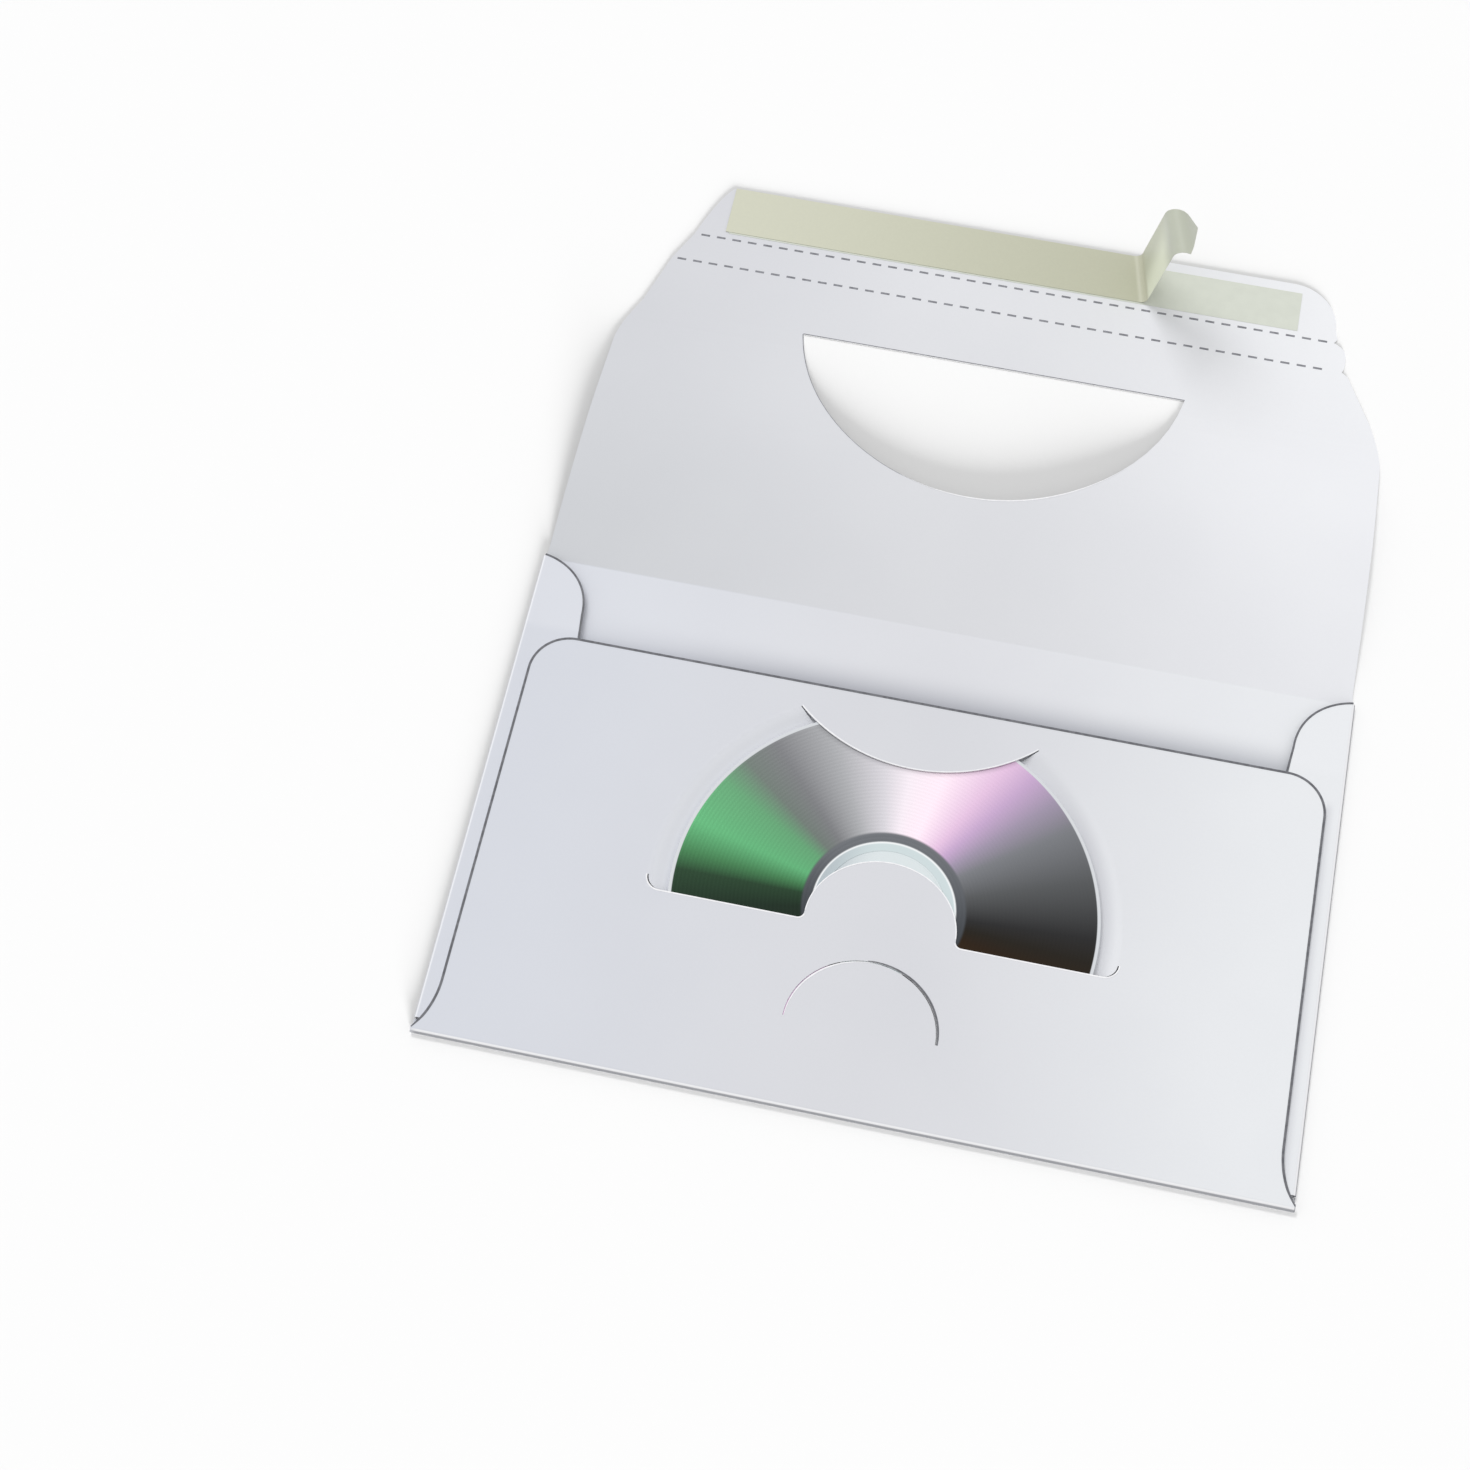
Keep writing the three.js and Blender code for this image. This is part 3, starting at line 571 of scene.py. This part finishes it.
def add_cut_highlights(highlight, edge):
    """Raised strips of painted highlight along the die cuts of the pocket panel, and a dark strip of painted
    shade on one side of the half-moon cut.
    """
    def strip(name, points, width, out, material, taper=None):
        """out is 1 for a strip on the left of its cut, as the points run, and -1 for one on the right."""
        beside = []
        for index, point in enumerate(points):
            along = points[min(index + 1, len(points) - 1)] - points[max(index - 1, 0)]
            beside.append(point + Vector((-along.y, along.x)).normalized() * out * CUT_HALF_WIDTH)
        line_strip(name, beside, width, PANEL_TOP - LIP_SINK, LIP_HEIGHT, material, max(out, 0.0), taper)

    left, tab, right = lower_slit_parts()
    strip("slit_highlight_left", left, 0.00042, -1, highlight)
    strip("slit_highlight_right", right, 0.00042, -1, highlight)
    strip("tab_highlight", tab, 0.00034, -1, highlight)
    strip("tongue_highlight", tongue_points(), 0.00040, 1, highlight,
          lambda share: 0.7 + 0.3 * math.exp(-((share - 0.12) / 0.2) ** 2))
    moon = arc(DISC_X, HALF_MOON_Y, HALF_MOON_RADIUS, 0, 180, 48, HALF_MOON_RISE)
    strip("half_moon_highlight", moon[24:], 0.00045, 1, highlight,
          lambda share: 0.25 + 0.75 * math.sin(math.pi * share))
    strip("half_moon_shade", moon[:26], 0.00060, -1, edge,
          lambda share: 0.15 + 0.85 * math.sin(math.pi * (0.12 + 0.88 * share)) ** 0.6)


def add_perforation_shade(material):
    """Grey blocks of painted shade inside each short cut beside the tear strip, darkening the slots as their
    shadow.
    """
    for row, (level, left, right) in PERFORATIONS.items():
        room = right - left - SLOT_LENGTH
        count = int(room / SLOT_PITCH) + 1
        slack = room - (count - 1) * SLOT_PITCH
        mesh = bmesh.new()
        for index in range(count):
            middle = left + (slack + SLOT_LENGTH) / 2 + index * SLOT_PITCH
            place = Matrix.Translation((middle, level, CARD * 0.55))
            size = Matrix.Diagonal((SLOT_LENGTH, SLOT_WIDTH, CARD * 0.8, 1))
            bmesh.ops.create_cube(mesh, size=1, matrix=place @ size)
        name = "perforation_fibres_" + row
        piece = add_piece(name, mesh, bpy.data.meshes.new(name))
        piece.data.materials.append(material)
        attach(piece, "root")


def arch_height(y):
    """Height of the open flap's underside: up from its crease, and gently down to the window's far edge."""
    share = (y - CREASE_Y) / (WINDOW_CHORD_Y - CREASE_Y)
    if share <= 0 or share >= 1:
        return 0.0
    if share < 0.5:
        return ARCH_RISE * math.sin(math.pi * share)
    return ARCH_RISE * math.cos(math.pi * (share - 0.5)) ** 2


def lay_on_flap(piece):
    """Lifts a strip that was laid out flat so that it follows the flap's arch."""
    for corner in piece.data.vertices:
        corner.co.z += arch_height(corner.co.y)


def add_fine_card():
    """The card sheet again, with soft folds in place of the solid's flat facets and a smoother arch."""
    data, mesh = welded_copy("card_sleeve", 0.000001)
    for corner in mesh.verts:
        share = (corner.co.y - CREASE_Y) / (WINDOW_CHORD_Y - CREASE_Y)
        if 0 < share < 1:
            corner.co.z += arch_height(corner.co.y) - ARCH_RISE * math.sin(math.pi * share)
    shade_smooth(mesh, 32)
    piece = add_piece("card_sheet", mesh, data)
    soften = piece.modifiers.new("soft_folds", "WEIGHTED_NORMAL")
    soften.keep_sharp = True
    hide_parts("card_sleeve")
    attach(piece, "root")
    return piece


def add_window_edges(shade, highlight):
    """The window's cut edge: a thin line of painted shade at its far and left sides, and one of painted
    highlight at its near side.
    """
    end = math.degrees(math.asin((WINDOW_CHORD_Y - WINDOW_CENTRE_Y) / WINDOW_RADIUS))
    half = WINDOW_RADIUS * math.cos(math.radians(end))
    far = [Vector((DISC_X - half + 2 * half * step / 24, WINDOW_CHORD_Y)) for step in range(25)]
    left = arc(DISC_X, WINDOW_CENTRE_Y, WINDOW_RADIUS, 180 - end, 262, 48)
    near = arc(DISC_X, WINDOW_CENTRE_Y, WINDOW_RADIUS, 250, 318, 48)
    for name, points, width, material, side, taper in (
            ("window_edge_far", far, 0.00026, shade, 1.0, None),
            ("window_edge_left", left, 0.00024, shade, 0.0, lambda share: 1.0 - 0.85 * share),
            ("window_edge_near", near, 0.00045, highlight, 0.0,
             lambda share: 0.15 + 0.85 * math.sin(math.pi * share))):
        lay_on_flap(line_strip(name, points, width, CARD + LINE_LIFT, LINE_HEIGHT, material, side, taper))


def add_edge_lines(edge):
    """Dark strips of painted shade along the cut edges of the pocket panel and of both side flaps."""
    for name, points, width, top, side, taper in (
            ("pocket_edge_shade_line", pocket_edge_points(), 0.0007, PANEL_TOP, 1.0,
             lambda share: min(1.0, 0.45 + 9 * min(share, 1 - share))),
            ("side_flap_edge_right", side_flap_points(1), 0.0006, SIDE_FLAP_TOP, 0.0, None),
            ("side_flap_edge_left", side_flap_points(-1), 0.0006, SIDE_FLAP_TOP, 1.0, None)):
        line_strip(name, points, width, top + LINE_LIFT, LINE_HEIGHT, edge, side, taper)


def add_floor():
    """A plain white floor."""
    reach = 3.0
    drop = 0.0001
    white = 0.605
    data = bpy.data.meshes.new("floor")
    data.from_pydata([(-reach, -reach, 0), (reach, -reach, 0), (reach, reach, 0), (-reach, reach, 0)],
                     [], [(0, 1, 2, 3)])
    floor = bpy.data.objects.new("floor", data)
    bpy.context.scene.collection.objects.link(floor)
    floor.location.z = -drop
    n = Nodes("floor_white")
    n.set(Base_Color=(white, white, white, 1.0), Roughness=1.0, Specular_IOR_Level=0.0)
    data.materials.append(n.material)
    return floor


def add_surround():
    """A white surround, a little brighter where it is seen or mirrored than where it only lights."""
    world = bpy.data.worlds.new("surround")
    bpy.context.scene.world = world
    world.use_nodes = True
    tree = world.node_tree
    background = tree.nodes["Background"]
    background.inputs["Color"].default_value = (1, 1, 1, 1)
    path = tree.nodes.new("ShaderNodeLightPath")
    seen = path.outputs["Is Camera Ray"]
    for kind in ("Is Glossy Ray", "Is Transmission Ray"):
        either = tree.nodes.new("ShaderNodeMath")
        either.operation = "MAXIMUM"
        tree.links.new(seen, either.inputs[0])
        tree.links.new(path.outputs[kind], either.inputs[1])
        seen = either.outputs[0]
    level = tree.nodes.new("ShaderNodeMapRange")
    tree.links.new(seen, level.inputs["Value"])
    level.inputs["To Min"].default_value = 0.74
    level.inputs["To Max"].default_value = 1.0
    tree.links.new(level.outputs[0], background.inputs["Strength"])


def add_lamp(name, towards, energy, spread):
    """A sun lamp that shines from the given side, spread over an angle in degrees."""
    lamp_data = bpy.data.lights.new(name, "SUN")
    lamp_data.energy = energy
    lamp_data.angle = math.radians(spread)
    lamp = bpy.data.objects.new(name, lamp_data)
    bpy.context.scene.collection.objects.link(lamp)
    lamp.rotation_euler = Vector(towards).to_track_quat("Z", "Y").to_euler()
    return lamp


def limit(lamp, kind, thing, state="INCLUDE"):
    """Keeps a lamp's light (kind receiver) or its shadow (kind blocker) to one thing, or off that thing."""
    group = bpy.data.collections.new(lamp.name + "_" + kind)
    group.objects.link(thing)
    setattr(lamp.light_linking, kind + "_collection", group)
    group.collection_objects[0].light_linking.link_state = state


def add_lamps(floor, card):
    """A soft lamp from the upper left for all but the floor, and two that light the floor alone."""
    limit(add_lamp("key_lamp", (-0.55, 0.50, 0.90), 1.05, 34), "receiver", floor, "EXCLUDE")
    limit(add_lamp("floor_lamp", (-0.36, 0.48, 1.00), 1.30, 12), "receiver", floor)
    low_lamp = add_lamp("low_floor_lamp", (0.32, -0.92, 0.20), 8.3, 20)
    limit(low_lamp, "receiver", floor)
    limit(low_lamp, "blocker", card)


def add_camera():
    """The camera that was fitted to the photograph."""
    camera_data = bpy.data.cameras.new("camera")
    camera_data.lens = LENS
    camera_data.sensor_width = SENSOR_WIDTH
    camera = bpy.data.objects.new("camera", camera_data)
    bpy.context.scene.collection.objects.link(camera)
    turn = (Matrix.Rotation(math.radians(CAMERA_TURN), 4, "Z")
            @ Matrix.Rotation(math.radians(90 - CAMERA_PITCH), 4, "X")
            @ Matrix.Rotation(math.radians(CAMERA_ROLL), 4, "Z"))
    camera.matrix_world = Matrix.Translation(CAMERA_PLACE) @ turn
    bpy.context.scene.camera = camera


add_camera()
dress_frame()
add_fine_liner()
card_sheet = add_fine_card()
# The strips' colours: dark painted shade, paler painted shade, and white painted highlight
dark_shade_grey = flecked_material("painted_dark_shade", 600, (96, 97, 102), (118, 119, 124), Roughness=0.8)
pale_shade_grey = flecked_material("painted_pale_shade", 900, (122, 123, 129), (146, 147, 153), Roughness=0.85)
highlight_white = flecked_material("painted_highlight_white", 900, (240, 240, 243), (250, 250, 252),
                              Roughness=0.7, Specular_IOR_Level=0.3)
add_cut_highlights(highlight_white, dark_shade_grey)
add_perforation_shade(pale_shade_grey)
add_window_edges(pale_shade_grey, highlight_white)
add_edge_lines(dark_shade_grey)
add_surround()
add_lamps(add_floor(), card_sheet)
bpy.context.scene.view_settings.view_transform = "Standard"
